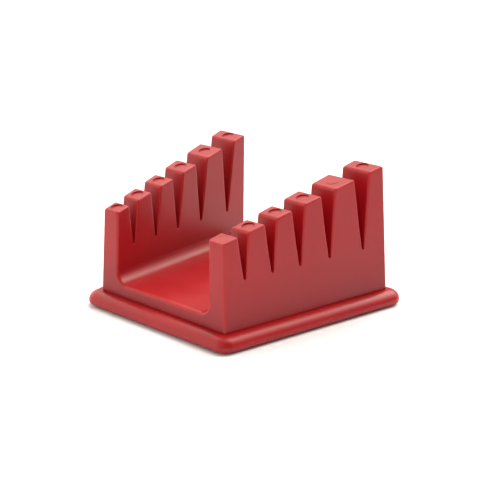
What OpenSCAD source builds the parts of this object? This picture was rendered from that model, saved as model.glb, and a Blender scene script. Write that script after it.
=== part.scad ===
// Slotted strap holder: a flared U-shaped cradle with a row of V-slots in each
// wall, screwed down on a beaded base that stands on four round non-slip pads.
// X runs across the walls, Y from the low front end to the tall back end and Z up.
// The origin is the middle of the footprint, on the surface that the pads stand on.

/* [Cradle] */
// Length of the cradle, front to back, where it meets the base
cradle_len = 52; // [46:0.5:64]
// Width over the outer faces at the front end, where it meets the base
front_w = 45; // [42:0.5:56]
// Width over the outer faces at the back end, where it meets the base
back_w = 62; // [56:0.5:76]
// Height of the top plane above the base at the front end
front_h = 22.2; // [18:0.1:27]
// Height of the top plane above the base at the back end
back_h = 33.4; // [28:0.1:41]
// Draft of the outer side faces, in degrees
side_draft = 3.1; // [0:0.1:4]
// Draft of the front face, in degrees
front_draft = 1.7; // [0:0.1:3]
// Draft of the back face, in degrees
back_draft = 1; // [0:0.1:3]
// Rounding of the front and back edges of each finger top
finger_edge_r = 0.6; // [0.2:0.1:0.8]

/* [Channel] */
// Width between the walls at the front end, at the level of the base
channel_front_w = 33.4; // [28:0.2:34]
// Width between the walls at the back end, at the level of the base
channel_back_w = 41.2; // [34:0.2:44]
// Inward lean of the inner faces, in degrees
channel_lean = 1.5; // [0:0.1:3]
// Thickness of the channel floor
floor_t = 3.4; // [2.8:0.1:5]
// Radius of the fillets between the floor and the walls
floor_fillet_r = 3.2; // [1:0.1:5]

/* [Slots] */
// Distance from the front end to the middle of the first slot
slot_start = 6.6; // [6:0.1:8]
// Distances from each slot to the next one, front to back
slot_pitch = [8.4, 8.6, 9.5, 11.1]; // [7.5:0.1:11.5]
// Included angle of each V-slot, in degrees
slot_angle = 12.4; // [8:0.1:14]
// Radius at the bottom of each V-slot
slot_tip_r = 0.35; // [0.2:0.05:0.5]
// Height of the slot bottoms above the base
slot_floor_h = 12.3; // [11:0.1:15]

/* [Pin marks] */
// Diameter of the round mark that an ejector pin leaves in each finger top
mark_d = 3.3; // [2:0.1:3.6]
// Depth of each mark below the finger top
mark_depth = 0.25; // [0.15:0.05:0.5]

/* [Base] */
// How far the base reaches out beyond the cradle, all round
base_margin = 3.6; // [3:0.1:6]
// Height of the base
base_h = 3.6; // [3.6:0.1:6]
// Rounding of the upper edge of the base
base_crown_r = 2.6; // [1.5:0.1:2.6]
// Rounding of the lower edge of the base
base_foot_r = 0.9; // [0.2:0.1:0.9]
// Radius of the corners of the base in plan
base_corner_r = 3.8; // [3:0.1:8]
// Height of the raised panel that locates the cradle on the base
panel_h = 1; // [0.6:0.1:1.2]
// How far the raised panel stays inside the line of the channel walls
panel_inset = 1.6; // [1:0.1:3]
// Running clearance round and above the raised panel
panel_gap = 0.15; // [0.1:0.05:0.3]

/* [Screws] */
// Distance of the screws from the front and back ends of the cradle
screw_inset = 6.6; // [6:0.1:9]
// Outside diameter of the screw thread
screw_d = 2.6; // [2:0.1:3]
// Diameter of the countersunk screw head
screw_head_d = 5; // [4:0.1:5.2]
// Length of the screw, over the head
screw_len = 9.5; // [7:0.5:11]
// Radial clearance of the screw in the holes
screw_gap = 0.05; // [0.03:0.01:0.1]
// Width across the square drive recess in the screw head
drive_w = 1.6; // [1.2:0.1:1.8]
// Depth of the drive recess
drive_depth = 0.8; // [0.5:0.1:1]

/* [Pads] */
// Diameter of the round pads under the screws
pad_d = 8; // [6.5:0.1:9]
// Thickness of the pads
pad_t = 1.3; // [1.2:0.1:1.6]
// How far the pads stand out below the base
pad_proud = 0.4; // [0.2:0.1:0.6]
// Radial clearance of the pads in their recesses
pad_gap = 0.1; // [0.05:0.05:0.2]

/* [Hidden] */
$fn = 64;
moulded_red = [0.74, 0.17, 0.18];
over = 10;
hair = 0.002;
reach = 4 * cradle_len;
tip_room = 1;

// Levels
base_z = pad_proud;
seat_z = pad_proud + base_h;
pad_recess = pad_t - pad_proud;
head_h = (screw_head_d - screw_d) / 2;
screw_y = cradle_len / 2 - screw_inset;
bore_r = screw_d / 2 + screw_gap;

// Top plane, as the height above the base at a distance y from the middle
top_slope = (back_h - front_h) / cradle_len;
function top_h(y) = front_h + (y + cradle_len / 2) * top_slope;

// Half widths at the level of the base and their change with height
function taper(front, back, y) = (front + (back - front) * (y / cradle_len + 0.5)) / 2;
function outer_x(y, h) = taper(front_w, back_w, y) - h * tan(side_draft);
function inner_x(y, h) = taper(channel_front_w, channel_back_w, y) - h * tan(channel_lean);
function wall_mid_x(y, h) = (outer_x(y, h) + inner_x(y, h)) / 2;
function flare(front, back) = atan((back - front) / 2 / cradle_len);

// Slots: half width at a height, and where each side meets the top plane
slot_y = [for (i = 0, y = slot_start - cradle_len / 2; i <= len(slot_pitch);
          y = y + (i < len(slot_pitch) ? slot_pitch[i] : 0), i = i + 1) y];
slot_half = slot_angle / 2;
slot_apex_h = slot_floor_h + slot_tip_r - slot_tip_r / sin(slot_half);
function slot_apex(i) = [slot_y[i], slot_apex_h];
function slot_edge_y(i, side) =
    (slot_y[i] + side * (top_h(0) - slot_apex_h) * tan(slot_half))
    / (1 - side * top_slope * tan(slot_half));
function slot_mouth(i, side) = slot_apex(i) + [side * tan(slot_half), 1] * reach;

// End faces: where the drafted front and back faces meet the top plane
front_top_h = front_h / (1 - top_slope * tan(front_draft));
back_top_h = back_h / (1 + top_slope * tan(back_draft));
front_top = [-cradle_len / 2 + front_top_h * tan(front_draft), front_top_h];
back_top = [cradle_len / 2 - back_top_h * tan(back_draft), back_top_h];

// Front and back corner of each finger top, and a point down the flank below each
last = len(slot_y);
function on_top(y) = [y, top_h(y)];
finger_front = [for (i = [0:last]) i == 0 ? front_top : on_top(slot_edge_y(i - 1, 1))];
finger_back = [for (i = [0:last]) i == last ? back_top : on_top(slot_edge_y(i, -1))];
flank_front = [for (i = [0:last]) i == 0 ? [-cradle_len / 2, 0] : slot_apex(i - 1)];
flank_back = [for (i = [0:last]) i == last ? [cradle_len / 2, 0] : slot_apex(i)];

function unit(v) = v / norm(v);

// What a rounding of radius r takes off the corner p between the lines to a and b.
// The arc is a hair larger than r, so that it crosses both lines instead of grazing them.
module corner_cut(p, a, b, r) {
    u = unit(a - p);
    v = unit(b - p);
    half = acos(u * v) / 2;
    centre = p + unit(u + v) * r / sin(half);
    spoke_u = p + u * r / tan(half) - centre;
    spoke_v = p + v * r / tan(half) - centre;
    difference() {
        polygon([p - unit(u + v) * r, centre + 2 * spoke_u, centre, centre + 2 * spoke_v]);
        translate(centre) circle(r + hair);
    }
}

// One V-slot with a round bottom, carried on past the top plane
module slot(i) {
    difference() {
        polygon([slot_apex(i), slot_mouth(i, 1), slot_mouth(i, -1)]);
        corner_cut(slot_apex(i), slot_mouth(i, 1), slot_mouth(i, -1), slot_tip_r);
    }
}

// Side view of the cradle: sloping top, drafted ends and the row of slots
module side_view() {
    difference() {
        polygon([[-cradle_len / 2, 0], [cradle_len / 2, 0], back_top, front_top]);
        for (i = [0:last - 1]) slot(i);
        for (i = [0:last]) {
            corner_cut(finger_front[i], flank_front[i], finger_back[i], finger_edge_r);
            corner_cut(finger_back[i], flank_back[i], finger_front[i], finger_edge_r);
        }
    }
}

// A section drawn outwards from one wall line, carried along that flared line
module along_wall(front, back) {
    translate([(front + back) / 4, 0, 0]) rotate([0, 0, -flare(front, back)])
        rotate([90, 0, 0]) linear_extrude(reach, center = true) children();
}

module both_sides() {
    intersection() {
        children();
        mirror([1, 0, 0]) children();
    }
}

// Everything inside the outer faces
module outer_space() {
    both_sides() along_wall(front_w, back_w)
        polygon([[-reach, 0], [0, 0], [-reach * tan(side_draft), reach], [-reach, reach]]);
}

// The channel between the walls, filleted where the walls meet the floor
module channel_space() {
    foot = [-floor_t * tan(channel_lean), floor_t];
    head = [-reach * tan(channel_lean), reach];
    both_sides() along_wall(channel_front_w, channel_back_w)
        difference() {
            polygon([[-reach, floor_t], foot, head, [-reach, reach]]);
            corner_cut(foot, [-reach, floor_t], head, floor_fillet_r);
        }
}

// Plan of the raised panel, drawn back from the channel walls and the ends
module panel_plan(gap) {
    y = screw_y;
    front = inner_x(-y, 0) - panel_inset + gap;
    back = inner_x(y, 0) - panel_inset + gap;
    polygon([[-front, -y - gap], [front, -y - gap], [back, y + gap], [-back, y + gap]]);
}

// One copy at each screw, low in the middle of each wall
module at_screws() {
    for (side = [-1, 1], end = [-1, 1])
        translate([side * wall_mid_x(end * screw_y, 0), end * screw_y, 0]) children();
}

// One copy at the middle of each finger top, standing square to the sloping top
module at_finger_tops() {
    for (side = [-1, 1], i = [0:last]) {
        y = (finger_front[i][0] + finger_back[i][0]) / 2;
        translate([side * wall_mid_x(y, top_h(y)), y, top_h(y)])
            rotate([atan(top_slope), 0, 0]) children();
    }
}

module cradle() {
    color(moulded_red) translate([0, 0, seat_z])
        difference() {
            intersection() {
                rotate([90, 0, 90]) linear_extrude(reach, center = true) side_view();
                outer_space();
            }
            channel_space();
            at_finger_tops() translate([0, 0, -mark_depth]) cylinder(h = over, d = mark_d);
            at_screws() translate([0, 0, -over])
                cylinder(h = over + screw_len + pad_recess - base_h + tip_room, r = bore_r);
            translate([0, 0, -over]) linear_extrude(over + panel_h + panel_gap)
                panel_plan(panel_gap);
        }
}

// Half section of a round corner of the base, from its axis out to the rim
module rim_section() {
    upper = [base_corner_r, base_h];
    lower = [base_corner_r, 0];
    difference() {
        square([base_corner_r, base_h]);
        corner_cut(upper, [0, base_h], lower, base_crown_r);
        corner_cut(lower, [0, 0], upper, base_foot_r);
    }
}

// Centres of the four round corners of the base
rim_reach = base_margin - base_corner_r;
rim_y = cradle_len / 2 + rim_reach;
function rim_x(y) = outer_x(y, 0) + rim_reach / cos(flare(front_w, back_w));
rim_centres = [[-rim_x(-rim_y), -rim_y], [rim_x(-rim_y), -rim_y],
               [rim_x(rim_y), rim_y], [-rim_x(rim_y), rim_y]];

module base() {
    color(moulded_red) translate([0, 0, base_z])
        difference() {
            union() {
                hull()
                    for (p = rim_centres) translate([p[0], p[1], 0])
                        rotate_extrude($fn = 48) rim_section();
                linear_extrude(base_h + panel_h) panel_plan(0);
            }
            at_screws() {
                translate([0, 0, -over])
                    cylinder(h = over + pad_recess, r = pad_d / 2 + pad_gap);
                translate([0, 0, pad_recess])
                    cylinder(h = head_h, d1 = screw_head_d, d2 = screw_d);
                cylinder(h = base_h + over, r = bore_r);
            }
        }
}

module base_screws() {
    color("silver") translate([0, 0, base_z + pad_recess]) at_screws()
        difference() {
            union() {
                cylinder(h = head_h, d1 = screw_head_d, d2 = screw_d);
                cylinder(h = screw_len - screw_d / 2, d = screw_d);
                translate([0, 0, screw_len - screw_d / 2])
                    cylinder(h = screw_d / 2, d1 = screw_d, d2 = screw_d / 4);
            }
            translate([-drive_w / 2, -drive_w / 2, -drive_depth])
                cube([drive_w, drive_w, 2 * drive_depth]);
        }
}

module foot_pads() {
    color([0.12, 0.12, 0.13]) at_screws() cylinder(h = pad_t, d = pad_d);
}

cradle();
base();
base_screws();
foot_pads();
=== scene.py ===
"""Slotted strap holder: a red moulded cradle with a row of V-slots in each wall, screwed down on a
beaded base that stands on four non-slip pads. X runs across the walls, Y from the low front end
to the tall back end, and Z up. Lengths are in metres."""
import bpy
import numpy as np
from mathutils import Matrix, Vector


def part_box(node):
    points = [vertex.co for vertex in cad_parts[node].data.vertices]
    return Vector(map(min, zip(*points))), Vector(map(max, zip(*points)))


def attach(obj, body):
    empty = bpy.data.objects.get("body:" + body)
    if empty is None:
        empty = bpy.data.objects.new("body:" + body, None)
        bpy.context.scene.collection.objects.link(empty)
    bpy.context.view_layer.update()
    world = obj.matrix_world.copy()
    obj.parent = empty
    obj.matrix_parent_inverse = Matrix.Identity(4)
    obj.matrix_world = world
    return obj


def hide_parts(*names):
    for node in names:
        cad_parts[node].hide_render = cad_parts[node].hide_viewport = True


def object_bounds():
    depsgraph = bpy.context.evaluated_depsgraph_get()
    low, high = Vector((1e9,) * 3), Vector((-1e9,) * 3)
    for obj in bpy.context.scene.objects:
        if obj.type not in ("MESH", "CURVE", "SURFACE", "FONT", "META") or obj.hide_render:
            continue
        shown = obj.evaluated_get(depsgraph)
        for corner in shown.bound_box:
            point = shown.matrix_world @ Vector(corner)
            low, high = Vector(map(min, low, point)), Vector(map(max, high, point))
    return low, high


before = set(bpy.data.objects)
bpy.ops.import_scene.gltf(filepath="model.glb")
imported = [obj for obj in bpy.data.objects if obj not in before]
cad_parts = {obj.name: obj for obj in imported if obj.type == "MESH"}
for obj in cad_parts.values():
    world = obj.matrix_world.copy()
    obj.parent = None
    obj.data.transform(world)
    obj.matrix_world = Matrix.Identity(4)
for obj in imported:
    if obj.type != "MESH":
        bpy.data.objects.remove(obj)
cad_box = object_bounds()
mm = 0.001


# ------------------------------------------------------------------------------------------------
# Foot pads. Four round pads of soft black rubber, moulded with a rolled edge and three fine rings
# that grip the bench. They are stuck into recesses under the base and cover the screw heads.

pad_r = 4 * mm
pad_edge_r = 0.35 * mm
pad_ring_r = np.array([1.4, 2.2, 3.0]) * mm
pad_ring_w = 0.34 * mm
pad_ring_depth = 0.14 * mm
rubber_black = (0.018, 0.018, 0.020, 1)
rubber_dusty = (0.060, 0.057, 0.055, 1)
crease = np.radians(32)


def quarter_centres(node):
    """Plan centres of a node's four like solids, one in each quarter of the plan: halfway between
    the lowest and the highest vertex in that quarter."""
    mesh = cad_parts[node].data
    points = np.empty(3 * len(mesh.vertices), np.float32)
    mesh.vertices.foreach_get("co", points)
    plan = points.reshape(-1, 3)[:, :2].astype(float)
    quarters = [plan[(plan[:, 0] * x > 0) & (plan[:, 1] * y > 0)] for x in (-1, 1) for y in (-1, 1)]
    return np.array([(q.min(0) + q.max(0)) / 2 for q in quarters])


def arc(centre, radius, start, end, steps):
    """Points on a circle: the centre plus the radius times cosine and sine, from one angle in
    degrees to another in equal steps. Two radii, across and up, make it an ellipse."""
    turn = np.radians(np.linspace(start, end, steps + 1))
    return np.asarray(centre) + radius * np.stack([np.cos(turn), np.sin(turn)], -1)


def full_turn(steps):
    """Angles of a full turn in equal steps, without the last one, which would repeat the first."""
    return np.linspace(0, 2 * np.pi, steps, endpoint=False)


def turned_rings(radius, height, centres, turn):
    """Rings of a turned shape, once at each plan centre. Ring i holds the points at radius[i] and
    height[i] at every angle of turn; a radius may itself change with the angle."""
    radius = np.broadcast_to(np.asarray(radius).T, (len(turn), len(height))).T
    plan = radius[..., None] * np.stack([np.cos(turn), np.sin(turn)], -1)
    level = np.broadcast_to(np.asarray(height)[:, None, None], (*radius.shape, 1))
    ring = np.concatenate([plan, level], -1)
    lift = np.concatenate([centres, np.zeros((len(centres), 1))], -1)
    return ring[None] + lift[:, None, None]


def shade(mesh):
    """Smooth shading, but for the edges where two faces meet at more than the crease angle."""
    mesh.polygons.foreach_set("use_smooth", np.ones(len(mesh.polygons), bool))
    mesh.set_sharp_from_angle(angle=crease)


def skin(name, stacks):
    """Closed mesh through one or more stacks of rings with equally many points, counter-clockwise
    from above. Four-sided faces join each ring to the next, and one flat face closes each end.
    The stack runs from the bottom round the outside to the top, so every face points outwards."""
    stacks = np.asarray(stacks, float)
    copies, levels, around = stacks.shape[:3]
    index = np.arange(copies * levels * around).reshape(copies, levels, around)
    low, high = index[:, :-1], index[:, 1:]
    sides = np.stack([low, np.roll(low, -1, 2), np.roll(high, -1, 2), high], -1).reshape(-1, 4)
    ends = [*index[:, 0, ::-1].tolist(), *index[:, -1].tolist()]
    mesh = bpy.data.meshes.new(name)
    mesh.from_pydata(stacks.reshape(-1, 3).tolist(), [], [*sides.tolist(), *ends])
    shade(mesh)
    piece = bpy.data.objects.new(name, mesh)
    bpy.context.scene.collection.objects.link(piece)
    return piece


def noise(nodes, links, place, scale, detail, roughness, squeeze=(1, 1, 1)):
    """Noise texture on the piece's own coordinates, in waves per metre. The coordinates are first
    multiplied by squeeze, so that less than one draws the pattern out along that axis."""
    squeezed = nodes.new("ShaderNodeVectorMath")
    squeezed.operation = "MULTIPLY"
    squeezed.inputs[1].default_value = squeeze
    links.new(place.outputs["Object"], squeezed.inputs[0])
    texture = nodes.new("ShaderNodeTexNoise")
    texture.inputs["Scale"].default_value = scale
    texture.inputs["Detail"].default_value = detail
    texture.inputs["Roughness"].default_value = roughness
    links.new(squeezed.outputs["Vector"], texture.inputs["Vector"])
    return texture.outputs["Fac"]


def between(nodes, links, factor, low, high, start=0.0, end=1.0):
    """Map of a factor from start..end to low..high, smooth at both ends."""
    ramp = nodes.new("ShaderNodeMapRange")
    ramp.interpolation_type = "SMOOTHSTEP"
    for socket, value in zip(("From Min", "From Max", "To Min", "To Max"), (start, end, low, high)):
        ramp.inputs[socket].default_value = value
    links.new(factor, ramp.inputs["Value"])
    return ramp.outputs["Result"]


def bump(nodes, links, height, depth, under=None):
    """Bump whose full height is depth, in metres, over an optional bump below it."""
    node = nodes.new("ShaderNodeBump")
    node.inputs["Strength"].default_value = 1.0
    node.inputs["Distance"].default_value = depth
    links.new(height, node.inputs["Height"])
    if under:
        links.new(under, node.inputs["Normal"])
    return node.outputs["Normal"]


def new_finish(name):
    """Empty node material: its nodes, its links, its shader and its coordinates."""
    finish = bpy.data.materials.new(name)
    finish.use_nodes = True
    nodes, links = finish.node_tree.nodes, finish.node_tree.links
    shader = nodes["Principled BSDF"]
    return finish, nodes, links, shader, nodes.new("ShaderNodeTexCoord")


def rubber():
    """Black rubber: matt, with a fine pitted grain, dusty patches and a slightly uneven sheen."""
    finish, nodes, links, shader, place = new_finish("pad_rubber")
    grime = noise(nodes, links, place, scale=260, detail=5, roughness=0.6)
    dust = between(nodes, links, grime, low=0, high=1, start=0.42, end=0.72)
    colour = nodes.new("ShaderNodeMix")
    colour.data_type = "RGBA"
    colour.inputs["A"].default_value = rubber_black
    colour.inputs["B"].default_value = rubber_dusty
    links.new(dust, colour.inputs["Factor"])
    links.new(colour.outputs["Result"], shader.inputs["Base Color"])
    links.new(between(nodes, links, dust, low=0.62, high=0.85), shader.inputs["Roughness"])
    pits = noise(nodes, links, place, scale=5200, detail=3, roughness=0.65)
    links.new(bump(nodes, links, pits, depth=0.03 * mm), shader.inputs["Normal"])
    return finish


def pad_profile():
    """Radius and height of a pad from inside its first ring, round both rolled edges, to the rim of
    its flat top. The depth of the rings follows a squared cosine across their width."""
    low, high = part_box("foot_pads")[0].z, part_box("foot_pads")[1].z
    across = np.linspace(pad_ring_r[0] - pad_ring_w, pad_ring_r[-1] + pad_ring_w, num=57)
    off = np.abs(across[:, None] - pad_ring_r).min(1) / pad_ring_w
    groove = pad_ring_depth * np.where(off < 1, np.cos(off * np.pi / 2) ** 2, 0)
    under = np.stack([across, low + groove], -1)
    lower = arc((pad_r - pad_edge_r, low + pad_edge_r), pad_edge_r, -90, 0, steps=6)
    upper = arc((pad_r - pad_edge_r / 2, high - pad_edge_r / 2), pad_edge_r / 2, 0, 90, steps=4)
    return np.concatenate([under, lower, upper]).T


corner_places = quarter_centres("foot_pads")
pads = skin("rubber_pads", turned_rings(*pad_profile(), corner_places, full_turn(72)))
pads.data.materials.append(rubber())
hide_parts("foot_pads")
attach(pads, "root")


# ------------------------------------------------------------------------------------------------
# Base screws. Four countersunk self-tapping screws of zinc-plated steel, cold headed with a square
# drive and a rolled thread. They go in from below, through the base and up into the walls.

screw_head_r = 2.5 * mm
screw_crest_r = 1.3 * mm
screw_root_r = 0.95 * mm
screw_pitch = 1.05 * mm
ridge_peak, ridge_fall = 1.35, 3.2
neck_step = 0.1 * mm
tip_share, tip_h = 0.35, 1.6 * mm
tip_flat = 0.02 * mm
drive_half_w = 0.8 * mm
drive_depth = 0.8 * mm
drive_floor_share = 0.97
head_rim = 0.12 * mm
zinc_cool = (0.56, 0.58, 0.62, 1)
zinc_warm = (0.66, 0.65, 0.60, 1)


def screw_rings():
    """Rings of a screw, standing on its head. The recess is a square: its radius is half its width
    over the larger of cosine and sine. The thread's radius rises from root to crest and back once
    a pitch, shifted by one pitch in a full turn: its ridge is the peak less the fall times the
    distance from mid pitch, held between 0 and 1. It fades out under the head and at the tip,
    where the core narrows to a share of its radius over the tip's height."""
    low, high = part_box("base_screws")[0].z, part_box("base_screws")[1].z
    turn = full_turn(48)
    square = drive_half_w / np.maximum(np.abs(np.cos(turn)), np.abs(np.sin(turn)))
    neck = low + screw_head_r - screw_crest_r
    level = np.arange(neck + 2 * neck_step, high - tip_flat, screw_pitch / 12)
    phase = np.mod(level[:, None] / screw_pitch - turn / (2 * np.pi), 1)
    ridge = np.clip(ridge_peak - ridge_fall * np.abs(phase - 0.5), 0, 1)
    fade = np.clip((level - neck) / screw_pitch, 0, 1) * np.clip((high - level) / screw_pitch, 0, 1)
    core = screw_root_r * np.clip(tip_share + (high - level) / tip_h, 0, 1)
    thread = core[:, None] + (screw_crest_r - screw_root_r) * ridge * fade[:, None]
    head = [(drive_floor_share * square, low + drive_depth), (square, low + drive_depth - head_rim),
            (square, low + head_rim / 2), (square + head_rim / 2, low),
            (screw_head_r - head_rim, low), (screw_head_r, low + head_rim),
            (screw_head_r, low + 2 * head_rim), (screw_root_r + neck_step, neck),
            (screw_root_r, neck + neck_step)]
    radius = [np.broadcast_to(r, turn.shape) for r, _ in head]
    height = np.concatenate([[z for _, z in head], level])
    return turned_rings(np.concatenate([radius, thread]), height, corner_places, turn)


def zinc_steel():
    """Zinc plating: a cool bright metal with a cloudy passivated film and fine drawing marks."""
    finish, nodes, links, shader, place = new_finish("screw_steel")
    film = noise(nodes, links, place, scale=700, detail=4, roughness=0.6)
    cloud = between(nodes, links, film, low=0, high=1, start=0.35, end=0.65)
    colour = nodes.new("ShaderNodeMix")
    colour.data_type = "RGBA"
    colour.inputs["A"].default_value = zinc_cool
    colour.inputs["B"].default_value = zinc_warm
    links.new(cloud, colour.inputs["Factor"])
    links.new(colour.outputs["Result"], shader.inputs["Base Color"])
    shader.inputs["Metallic"].default_value = 1.0
    sheen = between(nodes, links, film, low=0.24, high=0.46, start=0.3, end=0.7)
    links.new(sheen, shader.inputs["Roughness"])
    scratches = noise(nodes, links, place, scale=6000, detail=2, roughness=0.5)
    links.new(bump(nodes, links, scratches, depth=0.006 * mm), shader.inputs["Normal"])
    return finish


screws = skin("threaded_screws", screw_rings())
screws.data.materials.append(zinc_steel())
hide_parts("base_screws")
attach(screws, "root")


# ------------------------------------------------------------------------------------------------
# Base. A plate of red plastic moulded with a round bead along its rim, wider at the back as the
# cradle is. A low panel on top keeps the cradle in place; below are the recesses for the pads.

base_corner_r = 3.8 * mm
bead_crown = np.array([2.8, 2.5]) * mm
bead_foot_r = 1.05 * mm
cradle_front_w = 45 * mm
panel_h = 1 * mm
panel_front_w = 31.2 * mm
panel_back_w = 37 * mm
panel_len = 38.8 * mm
panel_corner_r = 0.2 * mm
panel_edge = 0.1 * mm
recess_r = 4.1 * mm
recess_h = 0.9 * mm
mouth_r = 0.2 * mm
mouth_w = 0.3 * mm
mouth_lip = 0.01 * mm
countersink_gap = 0.02 * mm
bore_r = 1.35 * mm
tool_reach = 1 * mm
red_dark = (0.36, 0.0020, 0.006, 1)
red_light = (0.40, 0.0028, 0.008, 1)
# Painted shade on upright red faces: the heights, and the upward tilts of the face, over which the
# colour darkens towards the foot of the walls.
painted_shade_h = (3 * mm, 20 * mm)
painted_shade_tilt = (0.15, 0.6)

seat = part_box("cradle")[0].z


def rounded_plan(front_x, back_x, reach_y, radius, steps=24):
    """Outline of a trapezium with round corners, counter-clockwise from above: four arcs about the
    corner centres (front_x, -reach_y) and (back_x, reach_y) and their mirror images. Each arc
    turns from the direction that one side faces to the direction that the next one faces."""
    flare = np.degrees(np.arctan2(back_x - front_x, 2 * reach_y))
    corners = [((front_x, -reach_y), -90, -flare), ((back_x, reach_y), -flare, 90),
               ((-back_x, reach_y), 90, 180 + flare), ((-front_x, -reach_y), 180 + flare, 270)]
    return np.concatenate([arc(c, radius, start, end, steps) for c, start, end in corners])


def raised(plan, level):
    """Outline set at a level: the same height for each of its points."""
    return np.c_[plan, np.full(len(plan), level)]


def base_rings():
    """Rings of the base from its underside over the bead to the panel: the plan drawn at a radius
    that shrinks with the section's inset, so that the bead keeps its section round the corners."""
    low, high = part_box("base")
    cradle_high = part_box("cradle")[1]
    reach_y = high.y - base_corner_r
    back_x = high.x - base_corner_r
    flare = (cradle_high.x - cradle_front_w / 2) / (2 * cradle_high.y)
    front_x = back_x - 2 * reach_y * flare
    foot = arc((bead_foot_r, low.z + bead_foot_r), bead_foot_r, 270, 180, steps=10)
    crown = arc((bead_crown[0], seat - bead_crown[1]), bead_crown, 180, 90, steps=22)
    rim = [raised(rounded_plan(front_x, back_x, reach_y, base_corner_r - inset), level)
           for inset, level in np.concatenate([foot, crown])]
    panel = [raised(rounded_plan(panel_front_w / 2 - inset, panel_back_w / 2 - inset,
                                 panel_len / 2 - inset, panel_corner_r), level)
             for inset, level in ((panel_corner_r, seat), (panel_corner_r, seat + panel_h - panel_edge),
                                  (panel_corner_r + panel_edge, seat + panel_h))]
    return np.array([rim + panel])


def cut(piece, tool, how="DIFFERENCE"):
    """Cuts a tool's solid out of a piece, or adds it, and takes the tool away."""
    step = piece.modifiers.new("cut", "BOOLEAN")
    step.operation = how
    step.solver = "EXACT"
    step.object = tool
    bpy.context.view_layer.update()
    graph = bpy.context.evaluated_depsgraph_get()
    old, new = piece.data, bpy.data.meshes.new_from_object(piece.evaluated_get(graph))
    piece.modifiers.clear()
    piece.data = new
    new.name = old.name
    bpy.data.meshes.remove(old)
    bpy.data.objects.remove(tool)


def recess_rings():
    """Rings of the space that a pad and a screw take up in the base: the pad's recess with a
    rolled mouth, the countersink above it, and the bore. It starts and ends clear of the base."""
    low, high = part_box("base")
    top = low.z + recess_h
    mouth = arc((recess_r + mouth_r, low.z + mouth_r), mouth_r, 250, 180, steps=5)
    profile = [(recess_r + mouth_w, low.z - tool_reach), (recess_r + mouth_w, low.z - mouth_lip),
               *mouth, (recess_r, top), (screw_head_r + countersink_gap, top),
               (bore_r, top + screw_head_r - bore_r), (bore_r, high.z + tool_reach)]
    radius, height = np.array(profile).T
    return turned_rings(radius, height, corner_places, full_turn(64))


def red_moulding(name, dark, light, foot=1.0):
    """Moulded red plastic with a satin face: the pigment wanders between a dark and a light red.
    On upright faces the colour is darkened towards the foot of the walls, down to the share foot
    of itself, a painted shade near the base. The face carries a fine spark-eroded grain over upright
    draw marks and slow flow waves, and its sheen varies in soft patches."""
    finish, nodes, links, shader, place = new_finish(name)
    flow = noise(nodes, links, place, scale=55, detail=3, roughness=0.5)
    pigment = between(nodes, links, flow, low=0, high=1, start=0.3, end=0.7)
    colour = nodes.new("ShaderNodeMix")
    colour.data_type = "RGBA"
    colour.inputs["A"].default_value = dark
    colour.inputs["B"].default_value = light
    links.new(pigment, colour.inputs["Factor"])
    # Painted shade: on upright faces the colour is darkened towards the foot of the walls, down to the
    # share foot of itself.
    painted_shade_colour = nodes.new("ShaderNodeVectorMath")
    painted_shade_colour.operation = "SCALE"
    links.new(colour.outputs["Result"], painted_shade_colour.inputs["Vector"])
    share = nodes.new("ShaderNodeMath")
    share.operation = "MAXIMUM"
    for source, span, socket in (("Object", painted_shade_h, 0), ("Normal", painted_shade_tilt, 1)):
        split = nodes.new("ShaderNodeSeparateXYZ")
        links.new(place.outputs[source], split.inputs["Vector"])
        links.new(between(nodes, links, split.outputs["Z"], foot, 1, *span), share.inputs[socket])
    links.new(share.outputs["Value"], painted_shade_colour.inputs["Scale"])
    links.new(painted_shade_colour.outputs["Vector"], shader.inputs["Base Color"])
    patches = noise(nodes, links, place, scale=110, detail=1.5, roughness=0.5)
    sheen = between(nodes, links, patches, low=0.32, high=0.38, start=0.3, end=0.7)
    links.new(sheen, shader.inputs["Roughness"])
    shader.inputs["IOR"].default_value = 1.46
    drawn = noise(nodes, links, place, scale=1100, detail=2, roughness=0.5, squeeze=(1, 1, 0.06))
    grain = noise(nodes, links, place, scale=2400, detail=2, roughness=0.5)
    waves = bump(nodes, links, flow, depth=0.02 * mm)
    draw_marks = bump(nodes, links, drawn, depth=0.025 * mm, under=waves)
    face = bump(nodes, links, grain, depth=0.001 * mm, under=draw_marks)
    links.new(face, shader.inputs["Normal"])
    return finish


base = skin("beaded_base", base_rings())
cut(base, skin("recesses", recess_rings()))
shade(base.data)
base.data.materials.clear()
base.data.materials.append(red_moulding("red_moulding", red_dark, red_light))
base.modifiers.new("even_normals", "WEIGHTED_NORMAL").keep_sharp = True
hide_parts("base")
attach(base, "root")


# ------------------------------------------------------------------------------------------------
# Cradle. One red moulding: a channel with a filleted floor between two flared walls, each cut by
# five V-slots into six fingers under one sloping line. Ejector pins leave a round mark on each
# finger top, and all its edges are rounded in the mould. It sits over the base's panel, and the
# screws go up into blind holes in its walls.

channel_front_w = 33.4 * mm
channel_back_w = 41.2 * mm
front_h = 22.2 * mm
back_h = 33.4 * mm
side_draft, front_draft, back_draft, channel_lean = np.tan(np.radians([3.1, 1.7, 1.0, 1.5]))
floor_t = 3.4 * mm
floor_fillet_r = 3.2 * mm
slot_start = 6.6 * mm
slot_pitch = np.array([8.4, 8.6, 9.5, 11.1]) * mm
slot_half = np.radians(6.2)
slot_tip_r = 0.35 * mm
slot_floor_h = 12.3 * mm
flank_steps, tip_steps = 6, 8
flank_taper_h = 8 * mm
flank_taper_least = 0.25
crisp_share = 0.5
mark_r = 1.65 * mm
mark_depth = 0.36 * mm
mark_edge = 0.08 * mm
mark_reach = 3 * mm
# Fingers are counted from 0, along the right wall from the front and then along the left one.
faint_mark, faint_mark_depth = 0, 0.05 * mm
proud_mark, proud_mark_h, proud_mark_root = 4, 0.1 * mm, 0.4 * mm
panel_gap = 0.15 * mm
screw_tip_room = 0.5 * mm
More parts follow.
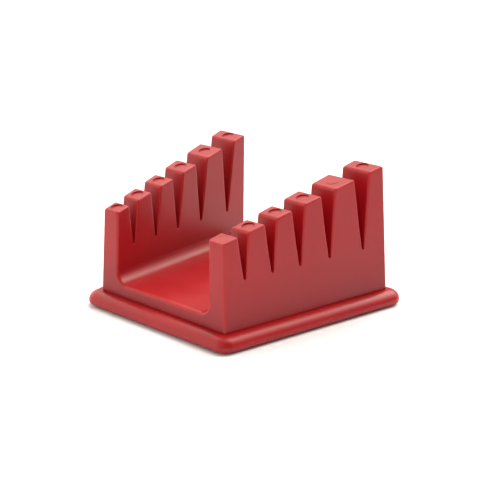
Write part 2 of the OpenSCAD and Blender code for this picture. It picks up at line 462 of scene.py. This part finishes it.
# Share of the colour left at the foot of upright faces, a painted shade near the base: on the walls and
# on the rounded edges.
wall_painted_shade, rim_painted_shade = 0.76, 0.88
# Lighter red for the rounded edges of the cradle, a painted highlight along them.
rim_painted_highlight_dark = (0.42, 0.006, 0.009, 1)
rim_painted_highlight_light = (0.46, 0.008, 0.011, 1)

half_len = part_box("cradle")[1].y
back_w = 2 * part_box("cradle")[1].x
slope = (back_h - front_h) / (2 * half_len)
slot_y = slot_start - half_len + np.concatenate([[0], np.cumsum(slot_pitch)])


def top_h(y):
    """Height of the sloping top line above the base, a straight line along the length."""
    return front_h + (y + half_len) * slope


def wall_x(front, back, lean, y, h):
    """Half width at a place along the length and a height: straight from front to back at the
    level of the base, less the height times the lean."""
    return (front + (back - front) * (y + half_len) / (2 * half_len)) / 2 - h * lean


def outer_x(y, h):
    """Half width over the outer faces."""
    return wall_x(cradle_front_w, back_w, side_draft, y, h)


def inner_x(y, h):
    """Half width between the inner faces."""
    return wall_x(channel_front_w, channel_back_w, channel_lean, y, h)


def slot_lip(middle, side):
    """Where one flank of a slot meets the top line: the flank leaves the apex at the slot's half
    angle, and the top line rises with its slope."""
    apex = slot_floor_h + slot_tip_r * (1 - 1 / np.sin(slot_half))
    y = ((middle + side * (top_h(0) - apex) * np.tan(slot_half))
         / (1 - side * slope * np.tan(slot_half)))
    return np.array([y, top_h(y)])


def comb_line():
    """Top line of a wall from front to back, as points (along, height): the front corner, each
    slot as a stepped flank, a round bottom and the other flank, and the back corner."""
    front = front_h / (1 - slope * front_draft)
    back = back_h / (1 + slope * back_draft)
    turn = np.degrees(slot_half)
    slots = []
    for y in slot_y:
        tip = arc((y, slot_floor_h + slot_tip_r), slot_tip_r, 180 + turn, 360 - turn, tip_steps)
        down = np.linspace(slot_lip(y, -1), tip[0], flank_steps, endpoint=False)
        up = np.linspace(slot_lip(y, 1), tip[-1], flank_steps, endpoint=False)[::-1]
        slots += [down, tip, up]
    return np.concatenate([[[front * front_draft - half_len, front]], *slots,
                           [[half_len - back * back_draft, back]]])


def fillet_line(steps=14):
    """Fillet between a wall and the floor as (offset from the wall's foot, height): an arc that
    touches the leaning wall and the level floor."""
    lean = np.arctan(channel_lean)
    height = floor_t + floor_fillet_r
    offset = -height * channel_lean - floor_fillet_r / np.cos(lean)
    return arc((offset, height), floor_fillet_r, np.degrees(lean), -90, steps)


# The kinds of face, and the rounding in millimetres of the edge between one kind and another.
OUTER, INNER, TOP, FLANK, FRONT, BACK, FLOOR, BOTTOM = range(8)
ROUNDINGS = {(OUTER, FRONT): 0.65, (OUTER, BACK): 0.45, (OUTER, TOP): 0.5, (INNER, TOP): 0.6,
             (FLANK, TOP): 0.65, (FRONT, TOP): 0.6, (BACK, TOP): 0.75, (OUTER, FLANK): 0.7,
             (INNER, FLANK): 0.6, (INNER, FRONT): 0.9, (INNER, BACK): 0.45, (FLOOR, FRONT): 0.9,
             (FLOOR, BACK): 0.45, (OUTER, BOTTOM): 0.15, (FRONT, BOTTOM): 0.15,
             (BACK, BOTTOM): 0.15}


def cradle_block():
    """Cradle with sharp edges, and what each face is. The comb line is carried across each wall
    from its outer to its inner face, the fillet line along the channel from front to back, and
    flat faces close the walls, the ends and the bottom. The left half mirrors the right one."""
    comb = comb_line()
    fillet = fillet_line()
    along, height = comb.T
    offset, rise = fillet.T
    ends = [-half_len + rise * front_draft, half_len - rise * back_draft]
    parts = [np.c_[outer_x(along, height), along, height], np.c_[inner_x(along, height), along, height],
             *[np.c_[inner_x(y, 0) + offset, y, rise] for y in ends],
             [[outer_x(-half_len, 0), -half_len, 0], [outer_x(half_len, 0), half_len, 0]]]
    half = np.concatenate(parts) + [0, 0, seat]
    points = np.concatenate([half, half * [-1, 1, 1]])
    starts = np.cumsum([0, *map(len, parts)])
    faces, kinds, lines = [], [], []
    for side, first in ((1, 0), (-1, len(half))):
        outer, inner, front, back, foot = [np.arange(a, b) + first for a, b in zip(starts, starts[1:])]
        lines.append((outer, inner, front, back, foot))
        across = np.stack([outer[:-1], outer[1:], inner[1:], inner[:-1]], -1)
        trough = np.stack([front[:-1], back[:-1], back[1:], front[1:]], -1)
        flats = [[*foot, *outer[::-1]], [*inner, back[0], front[0]]]
        made = [*across.tolist(), *trough.tolist(), *flats]
        faces += made if side > 0 else [face[::-1] for face in made]
        tops = np.tile([FLANK] * (2 * flank_steps + tip_steps) + [TOP], len(slot_y))
        kinds += [TOP, *tops, *[FLOOR] * len(trough), OUTER, INNER]
    (r_outer, r_inner, r_front, r_back, r_foot), (l_outer, l_inner, l_front, l_back, l_foot) = lines
    faces += [[r_front[-1], r_back[-1], l_back[-1], l_front[-1]],
              [l_foot[0], r_foot[0], r_outer[0], r_inner[0], *r_front, *l_front[::-1],
               l_inner[0], l_outer[0]],
              [r_foot[1], l_foot[1], l_outer[-1], l_inner[-1], *l_back, *r_back[::-1],
               r_inner[-1], r_outer[-1]],
              [l_foot[0], l_foot[1], r_foot[1], r_foot[0]]]
    kinds += [FLOOR, FRONT, BACK, BOTTOM]
    return points, faces, np.array(kinds)


def edge_radii(mesh, kinds):
    """Rounding of each edge in millimetres, looked up from the kinds of its two faces. The first
    finger on the right is crisper at the top than the others, the front corner of the left wall
    is crisper than that of the right one, and the slots' edges get crisper towards their tips."""
    table = np.zeros((8, 8))
    for (one, two), radius in ROUNDINGS.items():
        table[one, two] = table[two, one] = radius
    edge = np.empty(len(mesh.loops), int)
    mesh.loops.foreach_get("edge_index", edge)
    sides = np.empty(len(mesh.polygons), int)
    mesh.polygons.foreach_get("loop_total", sides)
    kind = np.repeat(kinds, sides)[np.argsort(edge, kind="stable")].reshape(-1, 2)
    ends = np.empty(2 * len(mesh.edges), int)
    mesh.edges.foreach_get("vertices", ends)
    place = np.empty(3 * len(mesh.vertices), np.float32)
    mesh.vertices.foreach_get("co", place)
    middle = place.reshape(-1, 3)[ends.reshape(-1, 2)].mean(1)
    right, first = middle[:, 0] > 0, middle[:, 1] < slot_y[0]
    top, front, outer = [(kind == one).any(1) for one in (TOP, FRONT, OUTER)]
    crisp = (right & first & top) | (~right & front & outer)
    flank = (kind == FLANK).any(1) & ~top
    taper = np.clip((middle[:, 2] - seat - slot_floor_h) / flank_taper_h, flank_taper_least, 1)
    return table[kind[:, 0], kind[:, 1]] * np.where(crisp, crisp_share, 1) * np.where(flank, taper, 1)


def finger_middles():
    """Plan position and height of the middle of each finger top on the right wall."""
    comb = comb_line()
    lips = np.concatenate([comb[:1], comb[1:-1].reshape(len(slot_y), -1, 2)[:, [0, -1]].reshape(-1, 2),
                           comb[-1:]])
    middle = lips.reshape(-1, 2, 2).mean(1)
    along, height = middle.T
    return np.c_[(outer_x(along, height) + inner_x(along, height)) / 2, along, height]


def disc_rings(middle, face, end):
    """Rings of round discs on finger tops, one for each middle, from their face to their far end.
    Every ring leans with the slope of the top: its height is that of the middle, plus its own
    offset, plus the slope times the distance along. The face has a small chamfer."""
    turn = full_turn(48)
    face = np.asarray(face)[:, None]
    reach = np.array([mark_r - mark_edge, mark_r, mark_r])
    plan = middle[:, None, None, :2] + reach[:, None, None] * np.stack([np.cos(turn), np.sin(turn)], -1)
    rise = np.concatenate([face, face + np.sign(end) * mark_edge, np.full_like(face, end)], 1)
    level = (seat + middle[:, None, None, 2] + rise[..., None]
             + (plan[..., 1] - middle[:, None, None, 1]) * slope)
    rings = np.concatenate([plan, level[..., None]], -1)
    return rings if end > 0 else rings[:, ::-1]


def panel_recess_rings():
    """Rings of the recess under the cradle: the outline and the height of the base's panel, each
    larger by the gap, from below the seat upwards."""
    grow = panel_gap - panel_corner_r
    plan = rounded_plan(panel_front_w / 2 + grow, panel_back_w / 2 + grow, panel_len / 2 + grow,
                        panel_corner_r)
    return [[raised(plan, level) for level in (seat - tool_reach, seat + panel_h + panel_gap)]]


def screw_hole_rings():
    """Rings of the blind holes for the screws, round and straight from below the seat to a little
    above the screws' tips."""
    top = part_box("base_screws")[1].z + screw_tip_room
    return turned_rings(bore_r, np.array([seat - tool_reach, top]), corner_places, full_turn(48))


points, faces, kinds = cradle_block()
block = bpy.data.meshes.new("cradle")
block.from_pydata(points.tolist(), [], [list(map(int, face)) for face in faces])
# Painted shade: both red finishes darken towards the foot of the walls.
block.materials.append(red_moulding("red_moulding_wall_foot_shade", red_dark, red_light, wall_painted_shade))
# Painted highlight: the rounded edges get a lighter red than the faces.
block.materials.append(red_moulding("red_moulding_rim_painted_highlight", rim_painted_highlight_dark, rim_painted_highlight_light, rim_painted_shade))
weight = block.attributes.new("bevel_weight_edge", "FLOAT", "EDGE")
weight.data.foreach_set("value", edge_radii(block, kinds).astype(np.float32))
cradle = bpy.data.objects.new("slotted_cradle", block)
bpy.context.scene.collection.objects.link(cradle)
rounding = cradle.modifiers.new("rounding", "BEVEL")
rounding.limit_method = "WEIGHT"
rounding.offset_type = "OFFSET"
rounding.width = mm
rounding.segments = 4
rounding.use_clamp_overlap = False
# The roundings take the lighter red of the painted highlight.
rounding.material = block.materials.find("red_moulding_rim_painted_highlight")

middles = finger_middles()
tops = np.concatenate([middles, middles * [-1, 1, 1]])
depth = np.where(np.arange(len(tops)) == faint_mark, faint_mark_depth, mark_depth)
proud = np.arange(len(tops)) == proud_mark
cut(cradle, skin("pin_marks", disc_rings(tops[~proud], -depth[~proud], mark_reach)))
cut(cradle, skin("proud_mark", disc_rings(tops[proud], [proud_mark_h], -proud_mark_root)), "UNION")
cut(cradle, skin("panel_recess", panel_recess_rings()))
cut(cradle, skin("screw_holes", screw_hole_rings()))
shade(cradle.data)
cradle.modifiers.new("even_normals", "WEIGHTED_NORMAL").keep_sharp = True
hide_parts("cradle")
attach(cradle, "root")


# ------------------------------------------------------------------------------------------------
# Floor, light and camera. A plain white floor under a dim warm surround with five soft glows, the
# strongest of them high behind the part, and a broad faint lamp overhead. The camera looks down a
# little from in front of the right-hand corner.

floor_reach = 9
floor_mesh = bpy.data.meshes.new("floor")
floor_plan = np.array([(-1, -1, 0), (1, -1, 0), (1, 1, 0), (-1, 1, 0)]) * floor_reach
floor_mesh.from_pydata(floor_plan.tolist(), [], [(0, 1, 2, 3)])
floor = bpy.data.objects.new("floor", floor_mesh)
bpy.context.scene.collection.objects.link(floor)
floor_finish = bpy.data.materials.new("floor_white")
floor_finish.use_nodes = True
floor_shader = floor_finish.node_tree.nodes["Principled BSDF"]
floor_shader.inputs["Base Color"].default_value = (0.88, 0.89, 0.93, 1)
floor_shader.inputs["Roughness"].default_value = 0.9
floor_mesh.materials.append(floor_finish)

surround_dim = 0.2
glow_edge = np.cos(np.radians(42))
# Each glow's azimuth from +Y towards +X and its elevation, in degrees, and its strength.
glows = [(350, 60, 4.3), (275, 30, 2.1), (20, 40, 1.8), (180, 35, 0.8), (225, 10, 1.2)]
world = bpy.data.worlds.new("surround")
world.use_nodes = True
nodes, links = world.node_tree.nodes, world.node_tree.links
nodes["Background"].inputs["Color"].default_value = (1, 0.975, 0.89, 1)
direction = nodes.new("ShaderNodeTexCoord").outputs["Generated"]
total = None
for azimuth, elevation, strength in glows:
    turn, tilt = np.radians([azimuth, elevation])
    facing = nodes.new("ShaderNodeVectorMath")
    facing.operation = "DOT_PRODUCT"
    facing.inputs[1].default_value = (np.sin(turn) * np.cos(tilt), np.cos(turn) * np.cos(tilt),
                                      np.sin(tilt))
    links.new(direction, facing.inputs[0])
    glow = between(nodes, links, facing.outputs["Value"], low=0, high=strength, start=glow_edge)
    added = nodes.new("ShaderNodeMath")
    added.inputs[1].default_value = surround_dim
    links.new(glow, added.inputs[0])
    if total:
        links.new(total, added.inputs[1])
    total = added.outputs["Value"]
links.new(total, nodes["Background"].inputs["Strength"])
bpy.context.scene.world = world
bpy.context.scene.view_settings.view_transform = "Standard"

lamp_place = Vector((0, 0.05, 0.7))
light = bpy.data.lights.new("overhead", "AREA")
light.shape = "SQUARE"
light.size = 0.6
light.energy = 0.3
overhead = bpy.data.objects.new("overhead", light)
bpy.context.scene.collection.objects.link(overhead)
lamp_turn = (lamp_place - (cad_box[0] + cad_box[1]) / 2).to_track_quat("Z", "Y")
overhead.matrix_world = Matrix.Translation(lamp_place) @ lamp_turn.to_matrix().to_4x4()

camera_azimuth, camera_elevation = np.radians([43.655, 18.202])
camera_distance = 0.3466
camera_lens, camera_sensor = 98.157, 36
aim_right, aim_up = 1.906 * mm, 12.064 * mm
right = Vector((np.cos(camera_azimuth), np.sin(camera_azimuth), 0))
back = Vector((np.sin(camera_azimuth) * np.cos(camera_elevation),
               -np.cos(camera_azimuth) * np.cos(camera_elevation), np.sin(camera_elevation)))
up = back.cross(right)
aim = Vector((0, 0, seat)) + aim_right * right + aim_up * up
camera = bpy.data.objects.new("camera", bpy.data.cameras.new("camera"))
camera.data.sensor_width = camera_sensor
camera.data.lens = camera_lens
camera.matrix_world = (Matrix.Translation(aim + camera_distance * back)
                       @ Matrix((right, up, back)).transposed().to_4x4())
bpy.context.scene.collection.objects.link(camera)
bpy.context.scene.camera = camera
